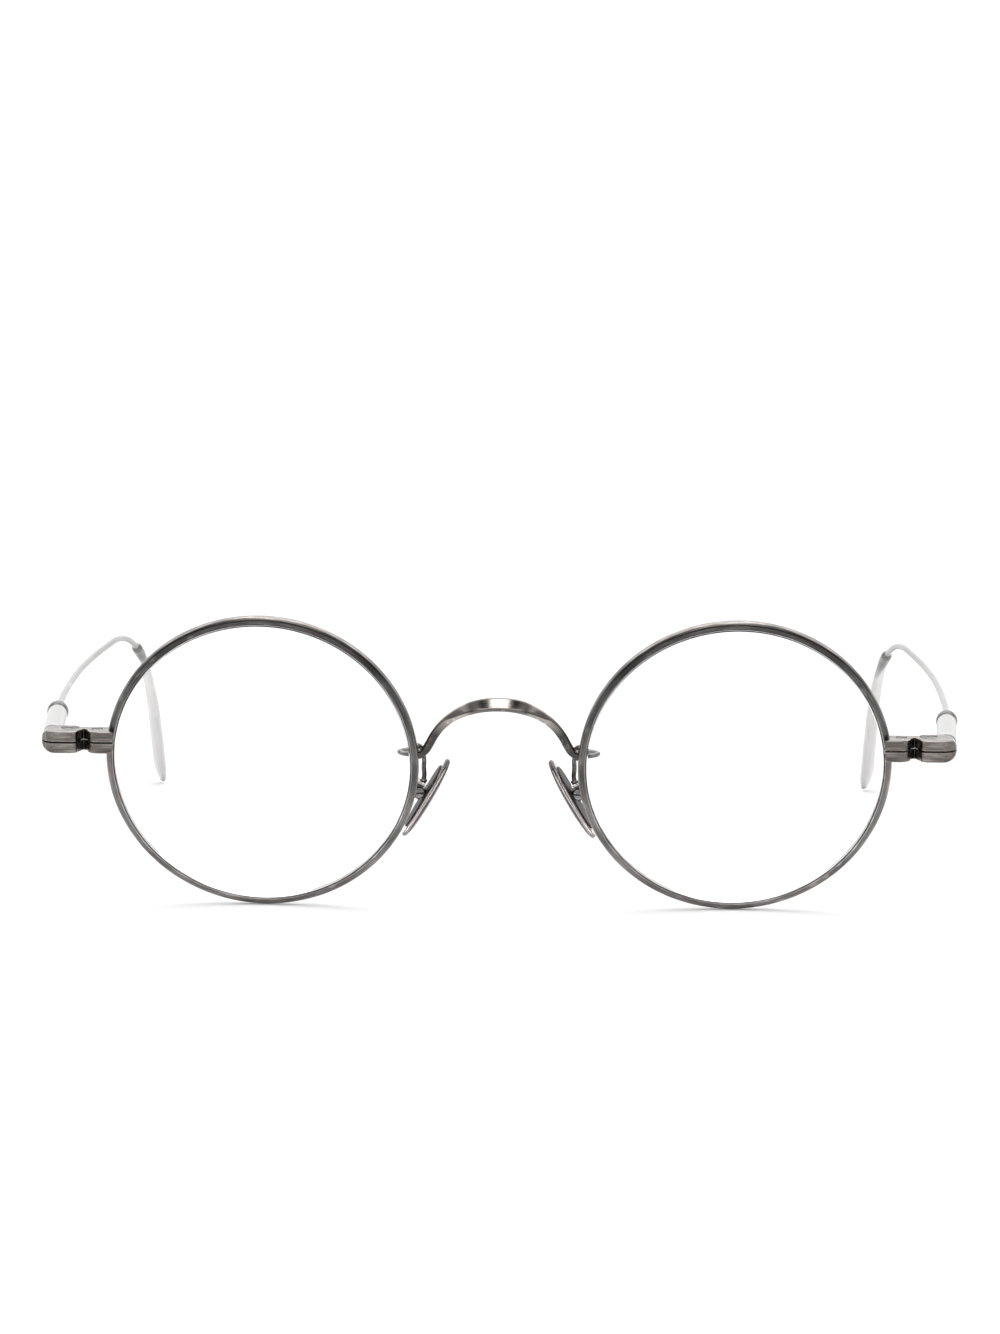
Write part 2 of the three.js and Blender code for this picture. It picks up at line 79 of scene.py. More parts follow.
def moved(matrix, points):
    points = np.asarray(points, float)
    return points @ matrix[:3, :3].T + matrix[:3, 3]


RIM_PLACE = shift(LENS_X, 0, 0) @ turn("X", PANTOSCOPIC) @ turn("Z", WRAP)
TUBE_PLACE = shift(*TUBE_START) @ turn("Z", -TUBE_SPLAY) @ turn("X", -TEMPLE_DIP)
STANDING = shift(0, STANDING_Y, STANDING_Z) @ turn("X", STANDING_TILT)
ROW = np.diag([0.001, 0.001, 0.001, 1]) @ STANDING


# ---- outlines and paths ----
def arc(x, y, radius, start, end, steps=14, radius_y=None):
    angles = np.radians(np.linspace(start, end, steps + 1))
    tall = radius if radius_y is None else radius_y
    return [(x + radius * math.cos(a), y + tall * math.sin(a)) for a in angles]


def fillet(points, radii, steps=5):
    """A closed outline with each corner rounded to its own radius."""
    points = [Vector(p) for p in points]
    radii = [radii] * len(points) if isinstance(radii, (int, float)) else radii
    made = []
    for i, corner in enumerate(points):
        before = points[i - 1] - corner
        after = points[(i + 1) % len(points)] - corner
        reach = min(radii[i], 0.49 * before.length, 0.49 * after.length)
        if reach == 0:
            made.append(tuple(corner))
            continue
        start = corner + before.normalized() * reach
        end = corner + after.normalized() * reach
        for step in range(steps + 1):
            t = step / steps
            made.append(tuple(start * (1 - t) ** 2 + corner * 2 * t * (1 - t) + end * t * t))
    return made


def centripetal(points, count):
    """Points evenly spaced along a centripetal Catmull-Rom curve."""
    p = np.array(points, float)
    p = np.vstack([2 * p[0] - p[1], p, 2 * p[-1] - p[-2]])
    dense = []
    for i in range(1, len(p) - 2):
        a, b, c, d = p[i - 1 : i + 3]
        t = np.cumsum([0] + [np.linalg.norm(v) ** 0.5 for v in (b - a, c - b, d - c)])
        for u in np.linspace(t[1], t[2], 24, endpoint=False):
            ab = ((t[1] - u) * a + (u - t[0]) * b) / (t[1] - t[0])
            bc = ((t[2] - u) * b + (u - t[1]) * c) / (t[2] - t[1])
            cd = ((t[3] - u) * c + (u - t[2]) * d) / (t[3] - t[2])
            abc = ((t[2] - u) * ab + (u - t[0]) * bc) / (t[2] - t[0])
            bcd = ((t[3] - u) * bc + (u - t[1]) * cd) / (t[3] - t[1])
            dense.append(((t[2] - u) * abc + (u - t[1]) * bcd) / (t[2] - t[1]))
    return evened(np.array(dense + [p[-2]]), count)


def lengths(points):
    return np.concatenate([[0], np.cumsum(np.linalg.norm(np.diff(points, axis=0), axis=1))])


def evened(points, count):
    run = lengths(points)
    at = np.linspace(0, run[-1], count + 1)
    return np.stack([np.interp(at, run, points[:, k]) for k in range(3)], axis=1)


def tangents(points):
    t = np.gradient(points, axis=0)
    return t / np.linalg.norm(t, axis=1)[:, None]


def smoothstep(value, low, high):
    t = np.clip((value - low) / (high - low), 0, 1)
    return t * t * (3 - 2 * t)


# ---- surfaces: each is (points, faces, grain) ----
def skin(rings, grain, looped=False):
    count, sides = rings.shape[:2]
    rows = count if looped else count - 1
    faces = []
    for i in range(rows):
        a, b = i * sides, ((i + 1) % count) * sides
        faces += [(a + j, a + (j + 1) % sides, b + (j + 1) % sides, b + j) for j in range(sides)]
    if not looped:
        faces.append(tuple(range(sides))[::-1])
        faces.append(tuple((count - 1) * sides + j for j in range(sides)))
    return rings.reshape(-1, 3), faces, grain.reshape(-1, 3)


def turned(profile, steps, start=None, end=None):
    """A closed (radius, y) outline turned about Y, all the way round or between angles."""
    profile = np.array(profile, float)
    whole = start is None
    share = np.linspace(0, 1, steps + 1)[: steps if whole else steps + 1, None]
    low = np.zeros(len(profile)) if whole else start
    high = np.full(len(profile), 2 * math.pi) if whole else end
    angle = low + (high - low) * share
    r, y = profile[:, 0] + 0 * angle, profile[:, 1] + 0 * angle
    rings = np.stack([r * np.cos(angle), y, r * np.sin(angle)], axis=2)
    return skin(rings, np.stack([angle * profile[:, 0].max(), r, y], axis=2), whole)


def spun(profile, steps):
    """A solid of revolution about Y whose (radius, y) outline starts and ends on the axis."""
    profile = np.array(profile, float)
    angle = np.linspace(0, 2 * math.pi, steps, endpoint=False)
    r = np.maximum(profile[:, 0], 1e-4)[:, None]
    y = profile[:, 1][:, None] + 0 * angle
    rings = np.stack([r * np.cos(angle), y, r * np.sin(angle)], axis=2)
    return skin(rings, np.stack([y * 0, y, r + 0 * angle], axis=2))


def swept(centres, width, height, across=None, sides=20, power=2.0):
    """Oval rings along a path. across gives each ring's width direction; else it is carried on."""
    count = len(centres)
    along = tangents(centres)
    width, height = np.broadcast_to(width, count), np.broadcast_to(height, count)
    power = np.broadcast_to(power, count)
    side = carried(along) if across is None else across
    side = side - along * np.sum(side * along, axis=1)[:, None]
    side /= np.linalg.norm(side, axis=1)[:, None]
    up = np.cross(along, side)
    angle = np.linspace(0, 2 * math.pi, sides, endpoint=False)
    grip = (2 / power)[:, None]
    u = np.sign(np.cos(angle)) * np.abs(np.cos(angle)) ** grip * width[:, None]
    v = np.sign(np.sin(angle)) * np.abs(np.sin(angle)) ** grip * height[:, None]
    rings = centres[:, None] + side[:, None] * u[..., None] + up[:, None] * v[..., None]
    run = lengths(centres)[:, None] + 0 * u
    return skin(rings, np.stack([run, u, v], axis=2))


def carried(along):
    """A direction square to the path, carried along it without twist."""
    first = np.cross(along[0], [0.3, 0.2, 1.0])
    made = [first / np.linalg.norm(first)]
    for t in along[1:]:
        side = made[-1] - t * np.dot(made[-1], t)
        made.append(side / np.linalg.norm(side))
    return np.array(made)


def prism(outline, low, high, axis="z"):
    outline = np.array(outline, float)
    ends = [np.column_stack([outline, np.full(len(outline), h)]) for h in (low, high)]
    points = np.vstack(ends)
    if axis == "y":
        points = points[:, [0, 2, 1]]
    n = len(outline)
    sides = [(i, (i + 1) % n, n + (i + 1) % n, n + i) for i in range(n)]
    return points, [tuple(range(n)), tuple(range(n, 2 * n)), *sides], points.copy()


def block(x0, x1, y0, y1, z0, z1):
    return prism([(x0, y0), (x1, y0), (x1, y1), (x0, y1)], z0, z1)


def ball(centre, radii):
    points, faces, grain = spun(arc(0, 0, 1, -90, 90, 16), 32)
    return points * radii + centre, faces, grain


def placed(matrix, surface):
    return moved(matrix, surface[0]), surface[1], surface[2]


def joined(*surfaces):
    points, faces, grain, base = [], [], [], 0
    for p, f, g in surfaces:
        points.append(p)
        grain.append(g)
        faces += [tuple(i + base for i in face) for face in f]
        base += len(p)
    return np.vstack(points), faces, np.vstack(grain)


# ---- solid modelling with modifiers ----
def scratch(surface):
    """A throwaway object, one unit to the millimetre, with clean outward faces."""
    mesh = bpy.data.meshes.new("scratch")
    mesh.from_pydata(surface[0].tolist(), [], surface[1])
    tidy(mesh)
    obj = bpy.data.objects.new("scratch", mesh)
    bpy.context.scene.collection.objects.link(obj)
    return obj


def tidy(mesh):
    bm = bmesh.new()
    bm.from_mesh(mesh)
    bmesh.ops.remove_doubles(bm, verts=bm.verts, dist=2e-4)
    bmesh.ops.recalc_face_normals(bm, faces=bm.faces)
    bm.to_mesh(mesh)
    bm.free()


def carved(base, steps, voxel, relax):
    """base with (operation, surface) steps applied, then evened into a fine soft-edged mesh."""
    obj = scratch(base)
    tools = []
    for operation, surface in steps:
        tool = scratch(surface)
        tools.append(tool)
        modifier = obj.modifiers.new("step", "BOOLEAN")
        modifier.operation, modifier.object, modifier.solver = operation, tool, "EXACT"
    remesh = obj.modifiers.new("even", "REMESH")
    remesh.mode, remesh.voxel_size = "VOXEL", voxel
    soften = obj.modifiers.new("soften", "SMOOTH")
    soften.factor, soften.iterations = 0.5, relax
    made = obj.evaluated_get(bpy.context.evaluated_depsgraph_get())
    mesh = bpy.data.meshes.new_from_object(made)
    points = np.zeros(len(mesh.vertices) * 3)
    mesh.vertices.foreach_get("co", points)
    points = points.reshape(-1, 3)
    faces = [tuple(p.vertices) for p in mesh.polygons]
    bpy.data.meshes.remove(mesh)
    for spare in (obj, *tools):
        bpy.data.objects.remove(spare)
    return points, faces, points.copy()


# ---- pieces ----
def show(name, body, surface, material, side=1):
    """Makes the piece, stands it on the surface and lets it take its CAD node's place."""
    points, faces, grain = surface
    points = points * [side, 1, 1]
    mesh = bpy.data.meshes.new(f"fine_{name}")
    mesh.from_pydata(moved(ROW, points).tolist(), [], faces)
    attribute = mesh.attributes.new("grain", "FLOAT_VECTOR", "POINT")
    attribute.data.foreach_set("vector", np.asarray(grain, np.float32).ravel())
    bm = bmesh.new()
    bm.from_mesh(mesh)
    bmesh.ops.remove_doubles(bm, verts=bm.verts, dist=2e-7)
    bmesh.ops.recalc_face_normals(bm, faces=bm.faces)
    bm.to_mesh(mesh)
    bm.free()
    mesh.polygons.foreach_set("use_smooth", [True] * len(mesh.polygons))
    mesh.materials.append(material)
    obj = bpy.data.objects.new(f"fine_{name}", mesh)
    bpy.context.scene.collection.objects.link(obj)
    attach(obj, body)
    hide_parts(name)
    return obj


def crisp(obj):
    """Keeps a hard edge where a piece's faces meet at more than a slight angle."""
    obj.data.set_sharp_from_angle(angle=math.radians(25))


def show_pair(name, body, surface, material, flats=False):
    for word, side in (("left", 1), ("right", -1)):
        where = body if body == "front" else f"{body}_{word}"
        obj = show(f"{name}_{word}", where, surface, material, side)
        if flats:
            crisp(obj)


# ---- materials ----
def node(tree, kind, inputs=(), **settings):
    """A node with its settings, and its inputs given as values or as sockets to link."""
    made = tree.nodes.new(kind)
    for key, value in settings.items():
        setattr(made, key, value)
    for key, value in dict(inputs).items():
        if isinstance(value, bpy.types.NodeSocket):
            tree.links.new(value, made.inputs[key])
        else:
            made.inputs[key].default_value = value
    return made


def begin(name):
    material = bpy.data.materials.new(name)
    material.use_nodes = True
    return material, material.node_tree, material.node_tree.nodes["Principled BSDF"]


def grain_noise(tree, scale, detail=3.0, roughness=0.55):
    """Noise over the grain vector, stretched by a scale along and across the piece."""
    grain = node(tree, "ShaderNodeAttribute", attribute_name="grain")
    spread = node(tree, "ShaderNodeMapping", {"Vector": grain.outputs["Vector"], "Scale": scale})
    return node(
        tree,
        "ShaderNodeTexNoise",
        {"Vector": spread.outputs[0], "Scale": 1.0, "Detail": detail, "Roughness": roughness},
    ).outputs["Fac"]


def remap(tree, value, low, high, to_low, to_high):
    """The value's range low to high taken to another range, and held at its ends."""
    inputs = {"Value": value, 1: low, 2: high, 3: to_low, 4: to_high}
    return node(tree, "ShaderNodeMapRange", inputs, clamp=True).outputs[0]


def math_node(tree, operation, a, b=0.0):
    return node(tree, "ShaderNodeMath", {0: a, 1: b}, operation=operation).outputs[0]


def product(tree, a, b):
    return math_node(tree, "MULTIPLY", a, b)


def larger(tree, a, b):
    return math_node(tree, "MAXIMUM", a, b)


def mixed(tree, share, a, b):
    inputs = {0: share, 2: a, 3: b}
    return node(tree, "ShaderNodeMix", inputs, data_type="FLOAT").outputs[0]


def scaled(tree, colour, factor):
    inputs = {0: colour, "Scale": factor}
    return node(tree, "ShaderNodeVectorMath", inputs, operation="SCALE").outputs[0]


def roughened(tree, height, strength, distance):
    inputs = {"Height": height, "Strength": strength, "Distance": distance}
    return node(tree, "ShaderNodeBump", inputs).outputs[0]


def ramp(tree, value, stops):
    made = node(tree, "ShaderNodeValToRGB", {"Fac": value})
    elements = made.color_ramp.elements
    while len(elements) < len(stops):
        elements.new(0.5)
    for element, (position, colour) in zip(elements, stops):
        element.position = position
        element.color = (*colour, 1)
    return made.outputs["Color"]


def plated(
    name, dark, middle, light, rough, streak, relief, contrast=1.0, hollow=9e-4, hollow_tone=0.25
):
    """Plated metal: brushed along its grain, dark in its hollows and rubbed light on its edges."""
    material, tree, shader = begin(name)
    fine = grain_noise(tree, streak, 4.0, 0.65)
    broad = grain_noise(tree, (0.22, 0.9, 0.9), 2.0)
    edge = node(tree, "ShaderNodeNewGeometry").outputs["Pointiness"]
    worn = remap(tree, edge, 0.47, 0.56, -0.22, 0.3)
    swing, drift = 0.25 * contrast, 0.17 * contrast
    brushing = remap(tree, fine, 0.25, 0.75, 0.35 - swing, 0.35 + swing)
    clouding = remap(tree, broad, 0.3, 0.7, 0.15 - drift, 0.15 + drift)
    shade = math_node(tree, "ADD", math_node(tree, "ADD", brushing, worn), clouding)
    colour = ramp(tree, shade, [(0.0, dark), (0.5, middle), (1.0, light)])
    inputs = {"Color": colour, "Distance": hollow}
    cavity = node(tree, "ShaderNodeAmbientOcclusion", inputs, samples=8).outputs["AO"]
    tarnish = remap(tree, cavity, 0.35, 0.85, hollow_tone, 1.0)
    tree.links.new(scaled(tree, colour, tarnish), shader.inputs["Base Color"])
    spread = math_node(tree, "ADD", product(tree, fine, 0.16), rough - 0.08)
    tree.links.new(spread, shader.inputs["Roughness"])
    tree.links.new(roughened(tree, fine, relief, 2e-5), shader.inputs["Normal"])
    shader.inputs["Metallic"].default_value = 1.0
    return material


def grain_parts(tree):
    grain = node(tree, "ShaderNodeAttribute", attribute_name="grain").outputs["Vector"]
    return node(tree, "ShaderNodeSeparateXYZ", {0: grain}).outputs


def tinted(material, factor):
    """Multiplies a finished material's colour by a factor."""
    tree = material.node_tree
    base = tree.nodes["Principled BSDF"].inputs["Base Color"]
    tree.links.new(scaled(tree, base.links[0].from_socket, factor), base)
    return material


def rim_metal():
    """Painted shade darkens the rim's top and its upper nose side. The inner edge by the lens has
    painted light low down and painted shade high up, and a painted highlight runs along the outer
    crest.
    """
    material = plated(
        "antique_silver",
        (0.061, 0.0575, 0.055), (0.162, 0.1525, 0.146), (0.385, 0.362, 0.347),
        rough=0.26, streak=ALONG, relief=0.5, contrast=1.3, hollow=3e-4, hollow_tone=0.7,
    )
    tree = material.node_tree
    run, radius, _ = grain_parts(tree)
    angle = math_node(tree, "DIVIDE", run, RIM_R)
    height = math_node(tree, "SINE", angle)
    past = math_node(tree, "SUBTRACT", angle, math.radians(NOSE_SIDE - 90))
    nose_side = math_node(tree, "SINE", past)
    # Painted shade: the colour is darkened over the rim's top half, and more again on its upper
    # nose side.
    painted_shade = remap(tree, height, -0.2, 0.6, 1.0, 0.45)
    painted_shade = product(tree, painted_shade, remap(tree, nose_side, 0.82, 0.96, 1.0, 0.5))
    # Painted light on the inner edge by the lens low on the rim, turning to painted shade near its
    # top.
    painted_lip_light_and_shade = remap(tree, height, 0.1, 0.6, 2.0, 0.6)
    at_lip = remap(tree, radius, APERTURE_R + 0.24, APERTURE_R + 0.34, 1.0, 0.0)
    # Painted highlight: the outer crest's colour is lifted to 1.3 times all round.
    at_crest = remap(tree, radius, RIM_R - 0.3, RIM_R - 0.1, 0.0, 1.0)
    return tinted(material, mixed(tree, at_crest, mixed(tree, at_lip, painted_shade, painted_lip_light_and_shade), 1.3))


def bridge_metal():
    """Painted light on its shoulders and painted shade towards its ends."""
    material = plated(
        "saddle_silver",
        (0.071, 0.0645, 0.0595), (0.142, 0.131, 0.122), (0.325, 0.305, 0.285),
        rough=0.13, streak=ALONG, relief=0.1, contrast=0.5, hollow=3e-4, hollow_tone=0.7,
    )
    tree = material.node_tree
    off_centre = math_node(tree, "ABSOLUTE", grain_parts(tree)[0])
    # Painted light: the colour is lifted 2.3 times from 4 to 4.8 mm either side of the middle.
    shoulder = remap(tree, off_centre, 4.0, 4.8, 1.0, 2.3)
    # Painted shade: the colour is darkened towards each end, down to a fifth at 10.5 mm out.
    end = remap(tree, off_centre, 7.5, 10.5, 1.0, 0.2)
    return tinted(material, product(tree, shoulder, end))


def lug_silver(name):
    return plated(
        name,
        (0.046, 0.0415, 0.0375), (0.148, 0.1355, 0.1235), (0.385, 0.355, 0.325),
        rough=0.22, streak=ALONG, relief=0.8, contrast=1.4,
    )


def seam_shaded(material):
    """Painted shade: a thin dark line along the seam between the end piece's two plates, where the
    gap between them lies in shade.
    """
    tree = material.node_tree
    height = grain_parts(tree)[2]
    off_seam = math_node(tree, "ABSOLUTE", math_node(tree, "SUBTRACT", height, PLANE_Z))
    # Painted shade along the seam line.
    return tinted(material, remap(tree, off_seam, 0.09, 0.17, 0.1, 1.0))


def tip_metal():
    """The sleeve's colour is darker over its first few millimetres on the wire and plain along its
    paddle.
    """
    material = plated(
        "tip_silver",
        (0.2, 0.19, 0.18), (0.5, 0.49, 0.48), (0.78, 0.77, 0.76),
        rough=0.24, streak=(0.2, 4, 4), relief=0.3, contrast=0.5,
    )
    run = grain_parts(material.node_tree)[0]
    return tinted(material, remap(material.node_tree, run, 3.0, 9.0, 0.3, 1.0))


def box_steel():
    """Dark steel, lighter at the end where the arm comes in: partly its bare solder, partly a
    painted highlight along the box's top edge.
    """
    material = plated(
        "box_steel",
        (0.02, 0.019, 0.018), (0.08, 0.076, 0.073), (0.8, 0.79, 0.78),
        rough=0.18, streak=(1, 3, 3), relief=0.15,
    )
    height = grain_parts(material.node_tree)[1]
    # Bare solder and painted highlight: the colour is lifted sevenfold at the box's top end.
    return tinted(material, remap(material.node_tree, height, 1.1, 1.25, 1.0, 7.0))


def blackened():
    """A thick dull oxide that hides the steel below it, even at a slant."""
    material = plated(
        "blackened_steel",
        (0.012, 0.011, 0.01), (0.035, 0.032, 0.03), (0.12, 0.113, 0.11),
        rough=0.5, streak=(1.2, 3, 3), relief=0.3,
    )
    shader = material.node_tree.nodes["Principled BSDF"]
    shader.inputs["Metallic"].default_value = 0.1
    shader.inputs["Specular IOR Level"].default_value = 0.15
    return material


def clear_lens():
    material, tree, shader = begin("lens_clear")
    haze = grain_noise(tree, (0.15, 0.15, 0.15), 2.0)
    colour = ramp(tree, haze, [(0.3, (0.985, 0.99, 0.99)), (0.7, (1, 1, 1))])
    tree.links.new(colour, shader.inputs["Base Color"])
    tree.links.new(remap(tree, haze, 0.3, 0.7, 0.0, 0.012), shader.inputs["Roughness"])
    shader.inputs["Transmission Weight"].default_value = 1.0
    shader.inputs["IOR"].default_value = 1.5
    return material


def pad_resin():
    """Clear resin with a faint pinkish grey cast, cloudier in some places than in others."""
    material, tree, shader = begin("pad_resin")
    cloud = grain_noise(tree, (0.25, 0.25, 0.25), 1.0)
    colour = ramp(tree, cloud, [(0.3, (0.52, 0.455, 0.44)), (0.7, (0.60, 0.54, 0.525))])
    tree.links.new(colour, shader.inputs["Base Color"])
    tree.links.new(remap(tree, cloud, 0.3, 0.7, 0.06, 0.14), shader.inputs["Roughness"])
    tree.links.new(roughened(tree, cloud, 0.05, 4e-5), shader.inputs["Normal"])
    shader.inputs["Transmission Weight"].default_value = 0.94
    shader.inputs["IOR"].default_value = 1.45
    return material


ALONG = (0.22, 9.0, 9.0)
# The angle round the rim at which the painted shade on the nose side is deepest.
NOSE_SIDE = 155
antique = rim_metal()
saddle = bridge_metal()
lug_metal = lug_silver("antique_silver_leaf")
plate_metal = seam_shaded(lug_silver("antique_silver_plate"))
bright = plated(
    "bright_silver",
    (0.27, 0.267, 0.264), (0.36, 0.357, 0.354), (0.5, 0.497, 0.494),
    rough=0.22, streak=(0.3, 3, 3), relief=0.08, contrast=0.3,
)
wire_metal = plated(
    "wire_silver",
    (0.16, 0.157, 0.154), (0.26, 0.257, 0.254), (0.42, 0.417, 0.414),
    rough=0.24, streak=(0.2, 5, 5), relief=0.15, contrast=0.4,
)
oxide = plated(
    "dark_steel",
    (0.02, 0.018, 0.017), (0.07, 0.065, 0.062), (0.30, 0.285, 0.275),
    rough=0.26, streak=(1.2, 3, 3), relief=0.4,
)
bead_metal = plated(
    "bead_steel",
    (0.03, 0.028, 0.027), (0.075, 0.072, 0.07), (0.2, 0.195, 0.19),
    rough=0.26, streak=(1, 1, 1), relief=0.15,
)
box_metal = box_steel()
plate_oxide = blackened()
cap_metal = plated(
    "cap_steel",
    (0.05, 0.048, 0.046), (0.16, 0.155, 0.15), (0.5, 0.49, 0.48),
    rough=0.16, streak=(1, 2, 2), relief=0.1, contrast=0.6,
)
tip_silver = tip_metal()
glass = clear_lens()
resin = pad_resin()


# ---- rims and lenses ----
def rim_profile():
    """The rim's section: crowned outside, flat at front and back, bevelled in to the groove."""
    bevel, groove_edge, crown = 0.2, 0.48, 0.78
    shoulder = RIM_HALF - crown
    outside = [
        *arc(RIM_R - crown, -shoulder, crown, -90, 0, 12),
        *arc(RIM_R - crown, shoulder, crown, 0, 90, 12),
    ]
    corners = [
        (APERTURE_R, -groove_edge), (APERTURE_R, bevel - RIM_HALF), (APERTURE_R + bevel, -RIM_HALF),
        outside[0],
    ]
    front = fillet(corners, [0.04, 0.1, 0.1, 0], 4)
    back = [(r, -y) for r, y in front[:-1]][::-1]
    return [*front[:-1], *outside, *back, (GROOVE_R, 0)]


def split_angle(profile, height):
    """The angle at which each point of the rim's outline passes a height, at the end piece."""
    low, high = np.full(len(profile), 0.0), np.full(len(profile), 0.4)
    for _ in range(40):
        angle = (low + high) / 2
        r, y = profile.T
        ring = np.stack([r * np.cos(angle), y, r * np.sin(angle)], axis=1)
        above = moved(RIM_PLACE, ring)[:, 2] > height
        low, high = np.where(above, low, angle), np.where(above, angle, high)
    return low


def rim():
    profile = np.array(rim_profile())
    start = split_angle(profile, PLANE_Z + SPLIT / 2)
    end = split_angle(profile, PLANE_Z - SPLIT / 2) + 2 * math.pi
    return placed(RIM_PLACE, turned(profile, 420, start, end))


def lens():
    edge, bevel = APERTURE_R - 0.1, 0.4
    half = LENS_THICK / 2
    radii = np.linspace(0, edge, 15)
    bow = (radii**2 - edge**2) / (2 * LENS_CURVE_R)
    front = list(zip(radii, bow - half))
    back = list(zip(radii, bow + half))[::-1]
    profile = [*front, (edge, -bevel), (GROOVE_R - 0.14, 0), (edge, bevel), *back]
    return placed(RIM_PLACE, spun(profile, 220))


# ---- bridge ----
def bridge():
    """A strip, flattened and tilted up in its middle, with a solder web at each end."""
    half = [
        (12.2, -0.3, 1.6), (11.2, -0.45, 1.6), (10.4, -0.62, 2.0), (9.8, -0.9, 2.95),
        (9.08, -1.4, 4.35), (7.8, -2.0, 6.1), (5.67, -2.5, 7.8), (2.84, -2.75, 8.9),
    ]
    left = [(-x, y, z) for x, y, z in half]
    centres = centripetal([*left, (0, -2.8, 9.18), *half[::-1]], 260)
    flat = 1 - smoothstep(np.abs(centres[:, 0]), 1.5, 9)
    lean = np.radians(40) * (1 - smoothstep(np.abs(centres[:, 0]), 4, 10.5))
    face = np.stack([0 * lean, -np.cos(lean), np.sin(lean)], axis=1)
    width = np.cross(tangents(centres), face)
    flare = 1 + 0.55 * smoothstep(np.abs(centres[:, 0]), 10.3, 11.7)
    tall, thick = 0.64 + 0.34 * flat, 0.58 - 0.18 * flat
    middle = lengths(centres)[-1] / 2
    tall, thick = tall * flare, thick * flare
    points, faces, grain = swept(centres, tall, thick, width, sides=48, power=2 + 4 * flat)
    surfaces = [(points, faces, grain - [middle, 0, 0])]
    for side in (-1, 1):
        points, faces, grain = ball([side * 11.5, -0.25, 2.0], [0.95, 0.62, 0.95])
        surfaces.append((points, faces, grain + [middle, 0, 0]))
    return joined(*surfaces)


# ---- end pieces ----
def lug_plan():
    """The end piece from above: a rim lobe, a notch in front and a round lobe over the hinge."""
    lobe_x, lobe_y = LUG_OUTER - LOBE_R, LUG_FRONT + LOBE_R
    return [
        (LUG_INNER, LUG_FRONT + 0.15), (LUG_INNER + 0.25, LUG_FRONT),
        *arc(56.75, LUG_FRONT + 1.5, 1.5, -90, 8),
        (58.9, 0.2),
        *arc(60.5, LUG_FRONT + 0.9, 0.9, 180, 270),
        *arc(lobe_x, lobe_y, LOBE_R, -90, 90, 28),
        *arc(*HINGE, EYE_R, 90, 152),
        (58.6, LUG_BACK), (LUG_INNER + 0.4, LUG_BACK), (LUG_INNER + 0.2, LUG_BACK - 0.2),
    ]


def lug_elevation():
    """The end piece from the front: square at the rim's top and rounded at its other corners."""
    half = LUG_HEIGHT / 2
    outline = [
        (LUG_INNER - 0.01, PLANE_Z + half),
        *arc(LUG_INNER + 0.59, PLANE_Z - half + 0.6, 0.6, 180, 270),
        *arc(LUG_OUTER - 2.05, PLANE_Z, 2.06, -90, 0, 24, half),
        *arc(LUG_OUTER - 1.0, PLANE_Z, 1.01, 0, 90, 16, half)[1:],
    ]
    return prism(outline, -3, 3, "y")


def rod(x, y, radius, low, high):
    return prism(arc(x, y, radius, 0, 360, 40)[:-1], low, high)


def lug_plate(low, high, *tools):
    """One plate of the end piece, cut for the rim, for the hinge leaf and by the tools."""
    room = LEAF_HALF + 0.08
    near, far, half = APERTURE_R - 1, RIM_R - 0.3, 0.66
    rim_core = [(near, -half), (far, -half), (far, half), (near, half)]
    steps = [
        ("INTERSECT", lug_elevation()),
        ("DIFFERENCE", placed(RIM_PLACE, turned(rim_core, 160))),
        ("DIFFERENCE", rod(*HINGE, EYE_R + 0.1, PLANE_Z - room, PLANE_Z + room)),
        ("DIFFERENCE", block(58.45, 64.3, HINGE[1], 3, PLANE_Z - room, PLANE_Z + room)),
        *[("DIFFERENCE", tool) for tool in tools],
    ]
    return carved(prism(lug_plan(), low, high), steps, voxel=0.055, relax=5)


def upper_lug():
    """The top plate, with a counterbore for the head of each screw."""
    hinge_seat_r, hinge_seat, closer_seat_r, closer_seat = 1.24, 0.6, 0.8, 0.55
    return lug_plate(
        PLANE_Z + SEAM, TOP,
        rod(*HINGE, HINGE_HOLE_R, 0, CLEAR_ABOVE),
        rod(*HINGE, hinge_seat_r, TOP - hinge_seat, CLEAR_ABOVE),
        rod(*CLOSER, CLOSER_HOLE_R, 0, CLEAR_ABOVE),
        rod(*CLOSER, closer_seat_r, TOP - closer_seat, CLEAR_ABOVE),
    )


def lower_lug():
    return lug_plate(
        FOOT, PLANE_Z - SEAM,
        rod(*HINGE, HINGE_HOLE_R, 0, CLEAR_ABOVE),
        rod(*CLOSER, CLOSER_HOLE_R, 0, CLEAR_ABOVE),
    )


def screw(head_r, head_depth, shank_r, length, slot, degrees):
    """A slotted screw with its head's top at z = 0 and its shank pointing down."""
    corners = [
        (0, 0), (head_r, 0), (head_r, -head_depth),
        (shank_r, -head_depth), (shank_r, -length), (0, -length),
    ]
    outline = fillet(corners, [0, 0.12, 0.05, 0.03, 0.08, 0], 4)
    body = placed(turn("X", 90), spun(outline, 64))
    reach, slot_depth = 2 * head_r, 0.25
    groove = block(-reach, reach, -slot / 2, slot / 2, -slot_depth, 1)
    steps = [("DIFFERENCE", placed(turn("Z", degrees), groove))]
    return carved(body, steps, voxel=0.032, relax=3)


